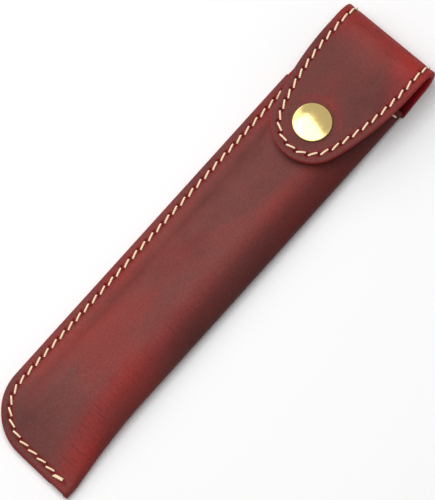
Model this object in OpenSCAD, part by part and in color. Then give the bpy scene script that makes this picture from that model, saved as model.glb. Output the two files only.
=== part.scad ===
// Single pen sleeve: one sheet of leather folded into a flat tube, stitched along its open edge and
// foot, with a flap that bends over the slanted mouth and shuts with a spring snap.
// It lies on its back. X runs across it, from the seam to the fold of the tube. Y runs along it,
// from the foot to the fold of the flap. Z points up, out of the front.

/* [Leather] */
// Thickness of the leather
leather_t = 1.8; // [1.2:0.1:2.4]
// Length from the lowest corner to the crown of the flap's fold
sleeve_l = 176.6; // [140:0.1:215]
// Width where the tube is pinched flat along its foot
flat_w = 37.9; // [32:0.1:46.5]
// Outer height of the open tube
tube_h = 8.6; // [7.2:0.1:10.4]
// How much narrower the open tube is than its flat foot
tube_gain = 2.2; // [1:0.1:3.2]
// Height of the fold's outermost line above the table
fold_z = 3.4; // [2.6:0.1:4.6]
// Run of the long round from the flat top over to the fold
over_run = 12; // [8:0.5:13]
// Run of the short round from the fold under to the back
under_run = 4; // [3:0.5:6]
// Length over which the tube flattens towards its foot
pinch_l = 33; // [22:1:45]
// Radius of the round corner between the seam and the foot
corner_r = 18; // [10:0.5:22]
// Slope of the foot across the sleeve, in degrees
foot_slope = 4; // [0:0.5:8]
// Width of the flat band where front and back are sewn together
seam_band = 4.4; // [3.6:0.1:6]
// Run of the front panel's rise from the sewn band to its flat top
rise_run = 9; // [7:0.5:12]

/* [Mouth and neck] */
// From the bend of the flap down to the mouth, on the folded side
mouth_drop = 8.6; // [6:0.1:14]
// How much lower the mouth lies at the seam than at the folded side
mouth_slant = 13.9; // [0:0.1:16]
// How far the neck's edge stands out past the folded side of the tube
neck_lip = 0.4; // [0:0.1:1]

/* [Flap] */
// Width of the flap where it bends
flap_w = 34.6; // [30:0.1:42.5]
// Length of the flap, from the end of the bend to its tip
flap_l = 44.7; // [38:0.1:54]
// Radius of the long curve down each side of the flap
flap_side_r = 100; // [80:1:140]
// Radius of the flap's tip
flap_tip_r = 13; // [10:0.5:15]
// From the seam edge to the flap's middle
flap_mid = 18.3; // [17:0.1:19.5]

/* [Stitching] */
// Distance from hole to hole
stitch_pitch = 3.8; // [3:0.1:5]
// Radius of the waxed thread
thread_r = 0.3; // [0.25:0.01:0.35]
// Radius of the pricked holes
prick_r = 0.55; // [0.5:0.01:0.7]
// Slant of each stitch, as its offset at either end
stitch_slant = 0.2; // [0:0.05:0.2]
// How far a stitch swells out between its holes
stitch_swell = 0.3; // [0.2:0.05:0.4]
// Depth to which the stitches are drawn into the front
groove_depth = 0.3; // [0.1:0.05:0.4]
// From the edge of the seam to its stitches
seam_margin = 2.7; // [2:0.1:3.2]
// From the edge of the flap to its stitches
flap_margin = 2.6; // [2:0.1:3.4]
// From the edge of the mouth to its stitches
mouth_margin = 2.2; // [1.8:0.1:3]
// Bare length of the foot between the last seam stitch and the fold
seam_tail = 4.2; // [3:0.1:8]

/* [Snap] */
// From the flap's tip up to the middle of the snap
snap_up = 12.9; // [10:0.1:14]
// Gap between front and flap that the closed snap holds open
snap_gap = 3; // [2.6:0.1:3.8]
// Radius of the cap
cap_r = 6.3; // [5:0.05:7.5]
// Height of the cap's dome above the flap
cap_h = 1.6; // [1.2:0.1:2.2]
// Radius of the barrel under the cap
barrel_r = 1.8; // [1.4:0.1:2.1]
// Radius of the socket's flange
socket_flange_r = 5.3; // [4.8:0.1:6]
// Radius of the socket's cup
socket_r = 4.3; // [4.1:0.1:4.7]
// Radius of the round head on the stud
stud_head_r = 2.6; // [2.4:0.05:2.8]
// Play between the head and the socket's mouth, all round
snap_play = 0.32; // [0.25:0.01:0.4]
// Radius of the stud's flange, and of the eyelet behind it
stud_flange_r = 4.8; // [4.2:0.1:5.4]
// Radius of the spring ring's wire
spring_wire_r = 0.25; // [0.2:0.01:0.28]

/* [Hidden] */
$fn = 48;

leather_color = [0.46, 0.21, 0.19];
thread_color = [0.90, 0.76, 0.52];
brass_color = [0.80, 0.69, 0.38];

// A thing that is cut away reaches this far past what it cuts
over = 1;
// Width of the shallow channel that a row of stitches lies in
groove_w = 4 * (thread_r + stitch_slant / 4);
// Depth of the channel on the back, which keeps the thread off the table
back_groove = 2 * thread_r + 0.03;
// A stitch dips this far below its highest part before it enters the hole
stitch_dip = stitch_swell / 2;
// How far the thread stands out of the front
thread_proud = 2 * thread_r + stitch_dip - groove_depth;
// Bare length left at each end of a stitch, in the middle of its hole
end_gap = 0.1;

// The tube
tube_rise = tube_h - 2 * leather_t;
tube_w = flat_w - tube_gain;
corner_y = (flat_w - corner_r) * tan(foot_slope) + corner_r / cos(foot_slope);
pinch_top = seam_band + pinch_l;

// The bend of the flap, about an axis along X
bend_r = (tube_h + snap_gap) / 2;
bend_y = sleeve_l - bend_r - leather_t / 2;
bend_z = leather_t / 2 + bend_r;
flap_under = bend_z + bend_r - leather_t / 2;
flap_top = flap_under + leather_t;

// The mouth: a straight slanted cut across the front
mouth_fold_y = bend_y - mouth_drop;
mouth_seam_y = mouth_fold_y - mouth_slant;
mouth_angle = atan(mouth_slant / tube_w);
function mouth_at(u) = mouth_seam_y + u * mouth_slant / tube_w;

// The flap's outline: straight from the bend, then a long curve, then the tip
tip_y = bend_y - flap_l;
tip_mid_y = tip_y + flap_tip_r;
flap_turn = acos((flap_side_r - flap_w / 2) / (flap_side_r - flap_tip_r));
flap_curve_y = tip_mid_y + (flap_side_r - flap_tip_r) * sin(flap_turn);

// The snap, all of it on one upright axis
snap_y = tip_y + snap_up;
snap_hole_r = barrel_r + 0.1;
mouth_r = stud_head_r + snap_play;
plate = 0.5;
socket_low = tube_h + plate + 0.15;
head_top = flap_under - plate - 0.7;
spring_z = (socket_low + head_top) / 2;

// The whole is centred on the middle of its footprint
overall_l = sleeve_l + thread_proud;
module in_frame() translate([-flat_w / 2, -overall_l / 2, 0]) children();
module on_snap() translate([flap_mid, snap_y, 0]) children();

// Points on an arc
function arc(mid, r, from, to, steps) =
    [for (i = [0:steps]) let (a = from + (to - from) * i / steps) mid + r * [cos(a), sin(a)]];

// Points on a quarter of an oval with the given half widths
function oval(mid, half, from, to) =
    [for (a = [from:90 / arc_steps:to + 0.01]) mid + [half.x * cos(a), half.y * sin(a)]];

// A solid through a list of profiles. Each profile has the same number of [x, z] points, lies at
// its own y, and starts at a point from which all its others can be seen.
module loft(profiles, ys) {
    n = len(profiles[0]);
    last = len(ys) - 1;
    points = [for (j = [0:last]) for (p = profiles[j]) [p.x, ys[j], p.y]];
    sides = [for (j = [0:last - 1]) for (i = [0:n - 1]) let (k = (i + 1) % n)
        each [[j * n + i, j * n + k, (j + 1) * n + i],
              [j * n + k, (j + 1) * n + k, (j + 1) * n + i]]];
    near_end = [concat([0], [for (i = [n - 1:-1:1]) i])];
    far_end = [[for (i = [0:n - 1]) last * n + i]];
    polyhedron(points = points, faces = concat(near_end, sides, far_end), convexity = 6);
}

// A round rod from one point to another
module rod(p, q, r) {
    d = q - p;
    translate(p)
        rotate([0, acos(d.z / norm(d)), atan2(d.y, d.x)])
            cylinder(h = norm(d), r = r);
}

// One stitch: an arch of thread between two holes, which swells out along n. Its ends lean outwards,
// so each is cut back by as far as it leans and stays on its own side of the hole
module stitch(p, q, n, swell) {
    span = norm(q - p) - 2 * end_gap;
    along = (q - p) / norm(q - p);
    up = (n - (n * along) * along) / norm(n - (n * along) * along);
    across = cross(up, along);
    middle = (p + q) / 2;
    arch_r = (pow(span / 2, 2) + pow(swell, 2)) / (2 * swell);
    lean = thread_r * span / 2 / arch_r;
    half = asin((span / 2 - lean) / arch_r);
    multmatrix([[along.x, across.x, up.x, middle.x],
                [along.y, across.y, up.y, middle.y],
                [along.z, across.z, up.z, middle.z]])
        translate([0, 0, swell - arch_r])
            rotate([90, half - 90, 0])
                rotate_extrude(angle = 2 * half)
                    translate([arch_r, 0]) circle(r = thread_r, $fn = 16);
}

// The same stitch on the side that isn't seen, drawn straight
module straight_stitch(p, q) {
    gap = end_gap * (q - p) / norm(q - p);
    rod(p + gap, q - gap, thread_r);
}

// A hole pricked through leather of the given thickness at p, square to its face
module prick(p, n, thickness) {
    reach = thickness / 2 + over / 2;
    rod(p - n * reach, p + n * reach, prick_r);
}

// The tube's height and width change along it: flat at the foot, open above
function rise_at(y) = tube_rise * sin(90 * min(1, max(0, (y - seam_band) / pinch_l)));
function width_at(y) = flat_w - (flat_w - tube_w) * rise_at(y) / tube_rise;

// How far the round corner has cut into the seam side at this height
function corner_in(y) = y >= corner_y ? 0
    : corner_r - sqrt(max(0, pow(corner_r, 2) - pow(corner_y - y, 2)));

// The front panel rises from the sewn band on two equal arcs, one hollow and one round
function rise_r(rise) = (pow(rise_run, 2) + pow(rise, 2)) / (4 * max(rise, 0.001));
function rise_turn(rise) = 2 * atan(rise / rise_run);
arc_steps = 8;
rise_steps = 6;

// The sheet seen from its end at this height, from under the fold, round it, over the top and down
// to the sewn band. off is half the leather outwards, half of it inwards, or 0 for its middle.
function skin_at(y, off) =
    let (rise = rise_at(y), share = rise / tube_rise, top = 2 * leather_t + rise)
    let (r = rise_r(rise), turn = rise_turn(rise), foot = seam_band + corner_in(y), w = width_at(y))
    let (side_z = leather_t + share * (fold_z - leather_t), shy = off - leather_t / 2)
    let (under = leather_t + share * (under_run - leather_t))
    let (above = leather_t + share * (over_run - leather_t))
    concat(
        oval([w - under, side_z], [under + shy, side_z + shy], -90, 0),
        oval([w - above, side_z], [above + shy, top - side_z + shy], 90 / arc_steps, 90),
        arc([foot + rise_run, top - leather_t / 2 - r], r + off, 90, 90 + turn, rise_steps),
        arc([foot, 1.5 * leather_t + r], r - off, turn - 90, -90, rise_steps));

function rise_end(y) = seam_band + corner_in(y) + rise_run;
function outside_at(y) =
    concat([[rise_end(y), 0]], skin_at(y, leather_t / 2), [[0, 2 * leather_t], [0, 0]]);
function inside_at(y) =
    concat([[rise_end(y), leather_t]], skin_at(y, -leather_t / 2));

pinch_steps = 10;
inside_from = seam_band + pinch_l * asin(0.25 / tube_rise) / 90;
function pinch_y(i, from) = from + (pinch_top - from) * i / pinch_steps;

module tube_outside() {
    ys = concat([-over], [for (i = [0:pinch_steps]) pinch_y(i, seam_band)], [mouth_fold_y + over]);
    loft([for (y = ys) outside_at(y)], ys);
}

module tube_inside() {
    ys = concat([for (i = [0:pinch_steps]) pinch_y(i, inside_from)], [mouth_fold_y + 2 * over]);
    loft([for (y = ys) inside_at(y)], ys);
}

// The sleeve's plan, drawn in from its edge by inset: straight seam, round corner, sloping foot
corner_steps = 24;
module plan(inset) {
    far = flat_w + over;
    foot_point = [corner_r, corner_y] - (corner_r - inset) * [sin(foot_slope), cos(foot_slope)];
    foot_far = foot_point + (far - foot_point.x) * [1, -tan(foot_slope)];
    polygon(concat(
        [[far, sleeve_l], [inset, sleeve_l]],
        arc([corner_r, corner_y], corner_r - inset, 180, 270 - foot_slope, corner_steps),
        [foot_far]));
}

// The back carries on above the mouth as the neck
module neck_plate() {
    flat_end = tube_w - under_run;
    linear_extrude(leather_t)
        polygon([[0, mouth_seam_y - over], [flat_end, mouth_seam_y - over],
            [flat_end, mouth_fold_y - over / 2], [tube_w + neck_lip, mouth_fold_y - over / 2],
            [flap_mid + flap_w / 2, bend_y], [flap_mid - flap_w / 2, bend_y]]);
}

module above_mouth() {
    far = flat_w + over;
    translate([0, 0, leather_t])
        linear_extrude(tube_h)
            polygon([[-over, mouth_at(-over)], [far, mouth_at(far)], [far, sleeve_l], [-over, sleeve_l]]);
}

// The seam row: down the seam, round the corner and along the foot
seam_top = mouth_at(seam_margin) - mouth_margin;
seam_turn_r = corner_r - seam_margin;
seam_side_l = seam_top - corner_y;
seam_turn_l = seam_turn_r * (90 - foot_slope) * PI / 180;
seam_foot_l = (flat_w - seam_tail - corner_r + seam_turn_r * sin(foot_slope)) / cos(foot_slope);
seam_l = seam_side_l + seam_turn_l + seam_foot_l;
seam_count = round(seam_l / stitch_pitch);

// Outward direction of the row at a distance along it
function seam_out(s) =
    s < seam_side_l ? [-1, 0]
    : let (a = 180 + min(90 - foot_slope, (s - seam_side_l) / seam_turn_r * 180 / PI)) [cos(a), sin(a)];

function seam_at(s) =
    s < seam_side_l ? [seam_margin, seam_top - s]
    : [corner_r, corner_y] + seam_turn_r * seam_out(s)
        + max(0, s - seam_side_l - seam_turn_l) * [cos(foot_slope), -sin(foot_slope)];

seam_stops = [for (i = [0:seam_count]) seam_l * i / seam_count];
function flat3(p, z) = [p.x, p.y, z];

module seam_groove() {
    linear_extrude(2 * over)
        intersection() {
            difference() {
                plan(seam_margin - groove_w / 2);
                plan(seam_margin + groove_w / 2);
            }
            translate([-over, -over])
                square([flat_w + over - seam_tail + groove_w / 2, seam_top + over + groove_w / 2]);
        }
}

// The flap row: s runs from the bend down one side, round the tip and up the other side. Less
// than 0, and more than the whole, it goes back over the bend and down the neck.
row_x = flap_w / 2 - flap_margin;
row_straight_l = bend_y - flap_curve_y;
row_curve_l = (flap_side_r - flap_margin) * flap_turn * PI / 180;
row_tip_l = (flap_tip_r - flap_margin) * (90 - flap_turn) * PI / 180;
row_half_l = row_straight_l + row_curve_l + row_tip_l;
bend_l = PI * bend_r;
bend_count = round(bend_l / stitch_pitch);
bend_pitch = bend_l / bend_count;
row_start = bend_pitch / 3;
flap_count = round((2 * row_half_l - 2 * row_start) / stitch_pitch);
flap_pitch = (2 * row_half_l - 2 * row_start) / flap_count;

// Direction out of the flap's outline on its seam side
function row_out(s) =
    s < row_straight_l ? [-1, 0]
    : let (t = s - row_straight_l)
      let (a = t < row_curve_l ? t / (flap_side_r - flap_margin) * 180 / PI
          : flap_turn + (t - row_curve_l) / (flap_tip_r - flap_margin) * 180 / PI)
      [-cos(a), -sin(a)];

function row_at(s) =
    s < row_straight_l ? [-row_x, bend_y - s]
    : s < row_straight_l + row_curve_l
        ? [flap_side_r - flap_w / 2, flap_curve_y] + (flap_side_r - flap_margin) * row_out(s)
    : [0, tip_mid_y] + (flap_tip_r - flap_margin) * row_out(s);

function mirrored(p) = [-p.x, p.y];
function on_flap(s) = s <= row_half_l ? row_at(s) : mirrored(row_at(2 * row_half_l - s));
function out_of_flap(s) = s <= row_half_l ? row_out(s) : mirrored(row_out(2 * row_half_l - s));

// On the bend and the neck, back is the distance back from the end of the flap
function bend_angle(back) = 180 - back / bend_r * 180 / PI;
function bend_mid(side, back, off) =
    back < 0 ? [flap_mid + side * row_x, bend_y + back, bend_z + bend_r + off]
    : back <= bend_l
        ? let (a = bend_angle(back), r = bend_r + off)
          [flap_mid + side * row_x, bend_y + r * sin(a), bend_z - r * cos(a)]
        : [flap_mid + side * row_x, bend_y - back + bend_l, leather_t / 2 - off];
function bend_normal(back) =
    back < 0 ? [0, 0, 1]
    : back <= bend_l ? let (a = bend_angle(back)) [0, sin(a), -cos(a)] : [0, 0, -1];

// Holes of the flap row, as distances along the flap, and back along the bend and the neck
flap_stops = [for (i = [0:flap_count]) row_start + i * flap_pitch];
bend_stops = [for (i = [1:bend_count]) i * bend_pitch - row_start];
function neck_end(side) = bend_l + bend_y - mouth_at(flap_mid + side * row_x) - mouth_margin;
function neck_stops(side) =
    let (first = bend_l + bend_pitch - row_start)
    [for (b = [first:bend_pitch:neck_end(side)]) b];

// How far out of the leather's middle a stitch's ends lie: on the front, on the back, and inside
front_off = leather_t / 2 - groove_depth + thread_r - stitch_dip;
back_off = leather_t / 2 - back_groove + thread_r;
inner_off = leather_t / 2 + thread_r;

// A row of stitches on one side of the bend, through the holes at these distances back
module bend_row(side, stops) {
    bulge = (bend_r + front_off) * (1 - cos(bend_pitch / bend_r * 90 / PI));
    for (i = [0:len(stops) - 2]) {
        a = stops[i];
        b = stops[i + 1];
        stitch(bend_mid(side, a, front_off), bend_mid(side, b, front_off),
            bend_normal((a + b) / 2), stitch_swell + bulge);
        straight_stitch(bend_mid(side, a, -inner_off), bend_mid(side, b, -inner_off));
    }
}

// A flat row: each upper stitch is slanted between its holes, each lower one is straight
module flat_row(points, outs, upper, lower) {
    for (i = [0:len(points) - 2]) {
        stitch(flat3(points[i] + outs[i] * stitch_slant, upper),
            flat3(points[i + 1] - outs[i + 1] * stitch_slant, upper), [0, 0, 1], stitch_swell);
        straight_stitch(flat3(points[i], lower), flat3(points[i + 1], lower));
    }
}

// The front of the open tube, along the middle of the leather, from the sewn band to the fold
front_line =
    let (all = skin_at(pinch_top, 0), last = len(all) - 1)
    [for (i = [last:-1:arc_steps]) if (i == arc_steps || norm(all[i] - all[i - 1]) > 0.001) all[i]];

// The point at distance d along a line of points, with the line's direction there
function walk(line, d, i = 0) =
    let (step = line[i + 1] - line[i], l = norm(step))
    d <= l || i == len(line) - 2 ? [line[i] + step * d / l, step / l] : walk(line, d - l, i + 1);

// The mouth row follows the mouth, to the far side of the top. It starts above the sewn band, where
// the front has lifted off the back far enough for the thread on its inside
thread_room = 2 * thread_r + 0.2;
mouth_first =
    let (r = rise_r(tube_rise), under = r + leather_t / 2)
    r * acos(under / (under + thread_room)) * PI / 180;
mouth_row_l = 32.8;
mouth_count = round((mouth_row_l - mouth_first) / (stitch_pitch * cos(mouth_angle)));
function mouth_d(i) = mouth_first + (mouth_row_l - mouth_first) * i / mouth_count;
function mouth_normal(d) = let (way = walk(front_line, d)[1]) [-way.y, 0, way.x];
function on_mouth(d, off) =
    let (p = walk(front_line, d)[0])
    [p.x, mouth_at(p.x) - mouth_margin / cos(mouth_angle), p.y] + off * mouth_normal(d);

// A mouth stitch on one face, which follows the curve of the leather between its holes
module mouth_stitch(i, face, off, swell) {
    mid_d = (mouth_d(i) + mouth_d(i + 1)) / 2;
    n = face * mouth_normal(mid_d);
    a = on_mouth(mouth_d(i), face * off);
    b = on_mouth(mouth_d(i + 1), face * off);
    bulge = (on_mouth(mid_d, face * off) - (a + b) / 2) * n;
    stitch(a, b, n, swell + max(0, bulge));
}

module mouth_thread() color(thread_color) in_frame()
    for (i = [0:mouth_count - 1]) {
        mouth_stitch(i, 1, inner_off - stitch_dip / 2, stitch_swell);
        mouth_stitch(i, -1, inner_off + 0.05, 0.1);
    }

module seam_thread() color(thread_color) in_frame()
    flat_row([for (s = seam_stops) seam_at(s)], [for (s = seam_stops) seam_out(s)],
        2 * leather_t - groove_depth + thread_r - stitch_dip, back_groove - thread_r);

module neck_thread() color(thread_color) in_frame()
    for (side = [-1, 1]) {
        stops = concat([bend_stops[bend_count - 1]], neck_stops(side));
        for (i = [0:len(stops) - 2]) {
            straight_stitch(bend_mid(side, stops[i], back_off), bend_mid(side, stops[i + 1], back_off));
            straight_stitch(bend_mid(side, stops[i], -inner_off), bend_mid(side, stops[i + 1], -inner_off));
        }
    }

module fold_lower_thread() color(thread_color) in_frame()
    for (side = [-1, 1])
        bend_row(side, [for (b = bend_stops) if (b > bend_l / 2) b]);

module fold_upper_thread() color(thread_color) in_frame()
    for (side = [-1, 1])
        bend_row(side, [for (b = bend_stops) if (b < bend_l / 2 + bend_pitch) b]);

module flap_thread() color(thread_color) in_frame() {
    translate([flap_mid, 0, 0])
        flat_row([for (s = flap_stops) on_flap(s)], [for (s = flap_stops) out_of_flap(s)],
            flap_top - groove_depth + thread_r - stitch_dip, flap_under - thread_r);
    for (side = [-1, 1]) bend_row(side, [-row_start, bend_stops[0]]);
}

// The channel on the neck's back starts at the last hole and runs on to the bend's first hole,
// where it is a little deeper because the stitch there crosses to the bend in a straight line
module neck_groove(side) {
    x = flap_mid + side * row_x;
    low = bend_y - (neck_stops(side)[len(neck_stops(side)) - 1] - bend_l) - groove_w / 2;
    translate([x - groove_w / 2, low, -over])
        cube([groove_w, bend_y + over - low, over + back_groove]);
    translate([x - groove_w / 2, bend_y - over, -over])
        cube([groove_w, 2 * over, over + back_groove + 0.1]);
}

module sleeve_leather() color(leather_color) in_frame() difference() {
    union() {
        intersection() {
            tube_outside();
            translate([0, 0, -over]) linear_extrude(tube_h + 2 * over) plan(0);
        }
        neck_plate();
    }
    tube_inside();
    above_mouth();
    translate([0, 0, 2 * leather_t - groove_depth]) seam_groove();
    translate([0, 0, back_groove - 2 * over]) seam_groove();
    for (s = seam_stops) prick(flat3(seam_at(s), leather_t), [0, 0, 1], 2 * leather_t);
    for (side = [-1, 1]) {
        neck_groove(side);
        for (b = neck_stops(side)) prick(bend_mid(side, b, 0), bend_normal(b), leather_t);
    }
    for (i = [0:mouth_count])
        prick(on_mouth(mouth_d(i), 0), mouth_normal(mouth_d(i)), leather_t);
    on_snap() translate([0, 0, tube_h - leather_t - over])
        cylinder(h = leather_t + 2 * over, r = snap_hole_r);
}

// A quarter of the bend, from one angle to another, with the channel for its stitches
module bend_ring(from, to) {
    outer = bend_r + leather_t / 2;
    translate([flap_mid + flap_w / 2, bend_y, bend_z])
        rotate([0, -90, 0])
            rotate([0, 0, 180 - to])
                difference() {
                    rotate_extrude(angle = to - from)
                        translate([bend_r - leather_t / 2, 0]) square([leather_t, flap_w]);
                    for (x = [flap_margin, flap_w - flap_margin])
                        translate([0, 0, x - groove_w / 2])
                            difference() {
                                cylinder(h = groove_w, r = outer + over);
                                translate([0, 0, -over])
                                    cylinder(h = groove_w + 2 * over, r = outer - groove_depth);
                            }
                }
}

module fold_quarter(from, to) difference() {
    bend_ring(from, to);
    for (side = [-1, 1])
        for (b = bend_stops)
            if (bend_angle(b) > from && bend_angle(b) < to)
                prick(bend_mid(side, b, 0), bend_normal(b), leather_t);
}

module fold_lower() color(leather_color) in_frame() difference() {
    fold_quarter(0, 90);
    for (side = [-1, 1]) neck_groove(side);
}

module fold_upper() color(leather_color) in_frame() fold_quarter(90, 180);

// The flap's outline, drawn in from its edge by inset and ending straight across at top
side_steps = 16;
tip_steps = 36;
module flap_plan(inset, top) {
    half_w = flap_w / 2;
    tip_step = (180 - 2 * flap_turn) / tip_steps;
    right = arc([half_w - flap_side_r, flap_curve_y], flap_side_r - inset, 0, -flap_turn, side_steps);
    tip = arc([0, tip_mid_y], flap_tip_r - inset, -flap_turn - tip_step, flap_turn - 180 + tip_step,
        tip_steps - 2);
    left = [for (i = [side_steps:-1:0]) mirrored(right[i])];
    polygon(concat([[half_w - inset, top]], right, tip, left, [[inset - half_w, top]]));
}

module flap_leather() color(leather_color) in_frame() translate([flap_mid, 0, 0]) difference() {
    translate([0, 0, flap_under]) linear_extrude(leather_t) flap_plan(0, bend_y);
    translate([0, 0, flap_top - groove_depth])
        linear_extrude(over)
            difference() {
                flap_plan(flap_margin - groove_w / 2, bend_y + over);
                flap_plan(flap_margin + groove_w / 2, bend_y + 2 * over);
            }
    for (s = flap_stops) prick(flat3(on_flap(s), flap_top - leather_t / 2), [0, 0, 1], leather_t);
    translate([0, snap_y, flap_under - over])
        cylinder(h = leather_t + 2 * over, r = snap_hole_r);
}

// Half of the cap's section: a dome with a rolled rim, and a hollow barrel flared in the socket
module snap_cap() color(brass_color) in_frame() on_snap() {
    rim = 0.45;
    dome_r = (pow(cap_r - rim, 2) + pow(cap_h - 2 * rim, 2)) / (2 * (cap_h - 2 * rim));
    bore_r = barrel_r - 0.35;
    flare_z = flap_under - plate;
    rotate_extrude($fn = 96) {
        intersection() {
            translate([0, flap_top + cap_h - dome_r]) circle(r = dome_r, $fn = 360);
            translate([0, flap_top]) square([cap_r - rim, cap_h]);
        }
        translate([cap_r - rim, flap_top + rim]) circle(r = rim);
        translate([0, flap_top]) square([cap_r - rim, rim]);
        translate([bore_r, flare_z - 0.2]) square([barrel_r - bore_r, flap_top - flare_z + 0.3]);
        translate([bore_r, flare_z - 0.35]) square([0.9, 0.35]);
    }
}

// The socket is a cup that hangs under the flap, with a groove inside its mouth for the spring
module snap_socket() color(brass_color) in_frame() on_snap() {
    wall = socket_r - mouth_r;
    lip = 0.3;
    rotate_extrude($fn = 96) difference() {
        union() {
            translate([0, flap_under - plate]) square([socket_flange_r - plate / 2, plate]);
            translate([socket_flange_r - plate / 2, flap_under - plate / 2]) circle(r = plate / 2);
            translate([0, socket_low + lip]) square([socket_r, flap_under - plate - socket_low - lip]);
            translate([0, socket_low]) square([socket_r - lip, 2 * lip]);
            translate([socket_r - lip, socket_low + lip]) circle(r = lip);
        }
        translate([-over, socket_low - over])
            square([mouth_r + over, flap_under - plate - socket_low + over]);
        translate([0, spring_z - spring_wire_r - 0.05])
            square([mouth_r + wall / 2, 2 * spring_wire_r + 0.1]);
        translate([-over, flap_under - plate - over]) square([snap_hole_r + over, plate + 2 * over]);
    }
}

// The spring is a split ring of wire that sits in the socket's groove
module socket_spring() color(brass_color) in_frame() on_snap() {
    split = 24;
    translate([0, 0, spring_z])
        rotate([0, 0, split / 2])
            rotate_extrude(angle = 360 - split, $fn = 96)
                translate([mouth_r + spring_wire_r + 0.02, 0]) circle(r = spring_wire_r, $fn = 24);
}

// The stud stands on the front: a flange, a waist and a round head with a hollow top
module snap_stud() color(brass_color) in_frame() on_snap() {
    waist_r = stud_head_r - 0.35;
    head = 0.55;
    rotate_extrude($fn = 96) difference() {
        union() {
            translate([0, tube_h]) square([stud_flange_r - plate / 2, plate]);
            translate([stud_flange_r - plate / 2, tube_h + plate / 2]) circle(r = plate / 2);
            translate([0, tube_h]) square([waist_r, head_top - head - tube_h]);
            translate([stud_head_r - head, head_top - head]) circle(r = head);
            translate([0, head_top - 2 * head]) square([stud_head_r - head, 2 * head]);
        }
        translate([-over, tube_h - over]) square([snap_hole_r + over, head_top - tube_h + 2 * over]);
    }
}

// The eyelet holds the stud: a thin flange inside the tube and a barrel rolled over in the head
module stud_eyelet() color(brass_color) in_frame() on_snap() {
    wall = 0.3;
    inner_z = tube_h - leather_t;
    top_z = head_top + 0.05;
    rotate_extrude($fn = 96) difference() {
        union() {
            translate([0, inner_z - plate]) square([stud_flange_r - plate / 2, plate]);
            translate([stud_flange_r - plate / 2, inner_z - plate / 2]) circle(r = plate / 2);
            translate([0, inner_z]) square([barrel_r, top_z - inner_z]);
            translate([0, top_z]) square([barrel_r + 0.35, 0.2]);
        }
        translate([-over, inner_z - plate - over])
            square([barrel_r - wall + over, top_z - inner_z + plate + 2 * over]);
    }
}

sleeve_leather();
fold_lower();
fold_upper();
flap_leather();
seam_thread();
mouth_thread();
neck_thread();
fold_lower_thread();
fold_upper_thread();
flap_thread();
snap_cap();
snap_socket();
socket_spring();
snap_stud();
stud_eyelet();
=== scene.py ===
import math
import bpy
import numpy as np
from mathutils import Matrix, Vector


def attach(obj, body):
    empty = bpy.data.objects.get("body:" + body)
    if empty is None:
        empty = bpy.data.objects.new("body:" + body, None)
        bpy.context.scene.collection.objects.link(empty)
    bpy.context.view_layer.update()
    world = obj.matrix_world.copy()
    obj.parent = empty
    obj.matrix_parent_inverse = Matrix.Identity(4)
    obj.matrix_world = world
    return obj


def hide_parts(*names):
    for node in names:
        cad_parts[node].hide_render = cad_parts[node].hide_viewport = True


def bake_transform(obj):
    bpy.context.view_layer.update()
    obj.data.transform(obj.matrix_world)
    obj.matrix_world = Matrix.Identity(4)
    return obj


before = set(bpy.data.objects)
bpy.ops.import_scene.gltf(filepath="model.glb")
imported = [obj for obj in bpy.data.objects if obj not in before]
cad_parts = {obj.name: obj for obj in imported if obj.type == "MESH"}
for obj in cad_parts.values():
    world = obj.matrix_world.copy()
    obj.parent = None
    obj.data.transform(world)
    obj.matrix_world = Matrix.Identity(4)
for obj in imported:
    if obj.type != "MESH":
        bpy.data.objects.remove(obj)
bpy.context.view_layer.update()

# The front of the tube is one layer of oiled leather, cut with the back and the flap from one sheet.
# It rises from the flat band that is sewn to the back, runs level and turns under at the long fold,
# and it flattens towards the foot. Its cut edges are raw and a little rounded.

# Sizes are millimetres. u runs across from the sewn edge to the fold, y along from the lowest corner
# to the bend of the flap, and z up out of the front.
MM = 0.001
LEATHER_T = 1.8
SLEEVE_L, FLAT_W = 176.6, 37.9
TUBE_H, TUBE_GAIN = 8.6, 2.2
TUBE_W = FLAT_W - TUBE_GAIN
PINCH_L, CORNER_R, FOOT_SLOPE = 33.0, 18.0, math.radians(4)
CORNER_Y = (FLAT_W - CORNER_R) * math.tan(FOOT_SLOPE) + CORNER_R / math.cos(FOOT_SLOPE)
SEAM_BAND, RISE_RUN = 4.4, 9.0
FOLD_Z, OVER_RUN, UNDER_RUN = 3.4, 12.0, 4.0
EDGE_ROUND = 0.38
SNAP_GAP = 3.0
BEND_R = (TUBE_H + SNAP_GAP) / 2
BEND_Y = SLEEVE_L - BEND_R - LEATHER_T / 2
MOUTH_DROP, MOUTH_SLANT = 8.6, 13.9
MOUTH_FOLD_Y = BEND_Y - MOUTH_DROP
MOUTH_LEAN = math.atan(MOUTH_SLANT / TUBE_W)
# The thread stands out of the foot by this much, and the CAD is centred with it
THREAD_PROUD = 0.45
SHIFT = np.array([-FLAT_W / 2, -(SLEEVE_L + THREAD_PROUD) / 2, 0.0])
# Distance between stitches, of each row from its edge, and of the seam's last hole from the fold
PITCH, SEAM_IN, MOUTH_IN, SEAM_TAIL = 3.8, 2.7, 2.2, 4.2
# Along the leather's middle, where the mouth's row of stitches begins and ends
MOUTH_FIRST, MOUTH_ROW_L = 2.56, 32.8
# How deep a row presses the leather and how far across, then the same for each hole
SEAM_PRESS = (0.30, 0.75, 0.62, 0.55)
MOUTH_PRESS = (0.25, 0.70, 0.50, 0.42)
HOLE_MARK_R, STITCHED_R = 0.78, 1.3
WELD = 1e-3
TINY = 1e-12
# Here the tube is fully open, and beyond this the leather is on the folded side
OPEN_Y, FOLD_SIDE_U = 80.0, 30.0
DETAIL = 1.0


def steps(n):
    return max(4, int(n * DETAIL))


def mouth_at(u):
    return MOUTH_FOLD_Y - MOUTH_SLANT + u * MOUTH_SLANT / TUBE_W


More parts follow.
